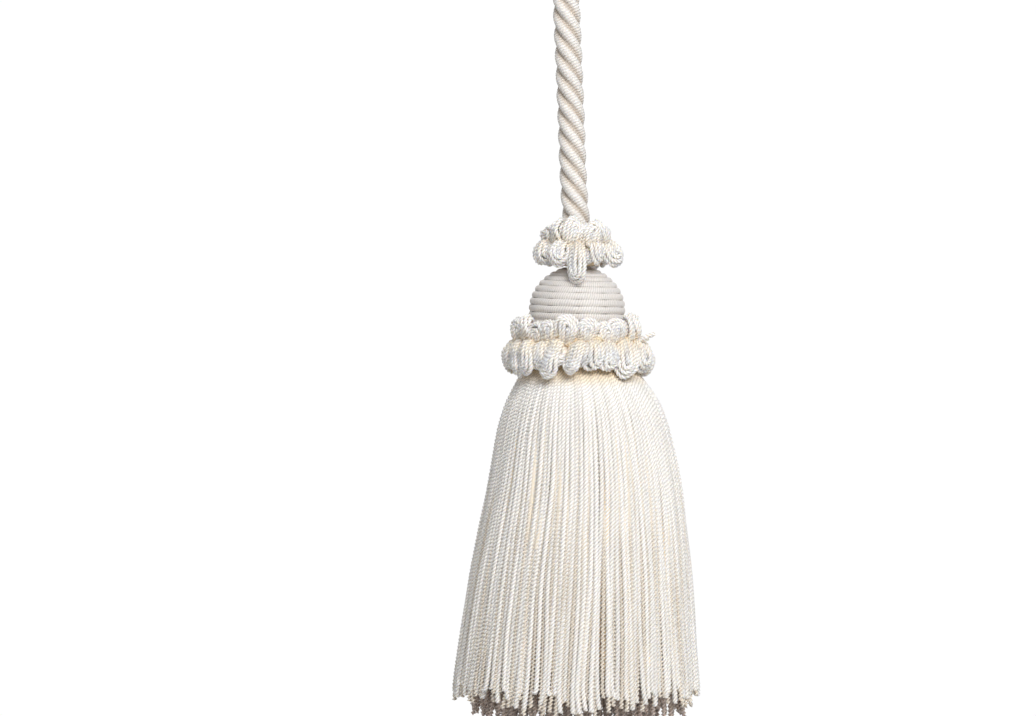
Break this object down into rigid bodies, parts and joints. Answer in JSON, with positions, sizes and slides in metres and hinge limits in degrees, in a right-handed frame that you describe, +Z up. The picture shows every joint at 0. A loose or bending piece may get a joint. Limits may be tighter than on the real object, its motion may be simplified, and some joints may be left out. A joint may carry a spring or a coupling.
{
  "type": "tassel on a looped rope, for curtains",
  "caption": "Curtain tassel: twisted rope with a bound eye, dome head wound with gimp, looped ruffs above and below it, and a flared bullion skirt.",
  "frame": {"origin": "where a hook bears inside the crown of the rope's eye, straight above the tassel's axis", "axes": "+Z up along the hanging tassel, +X to the right and -Y towards a viewer, with the eye lying in the XZ plane"},
  "size_m": [0.0842, 0.0842, 0.3244],
  "materials": {
    "rope": "ivory viscose yarn, laid into a rope, soft sheen",
    "whipping": "ivory binding thread, close wound",
    "gimp": "ivory gimp, matt, wound round the mould",
    "loops": "ivory viscose loops, silky",
    "bullion": "ivory viscose bullion, twisted, silky"
  },
  "bodies": {
    "root": {"rope": "rope", "loop_whipping": "whipping", "head": "gimp", "top_ruff": "loops", "lower_ruff": "loops", "skirt": "bullion"}
  },
  "joints": []
}
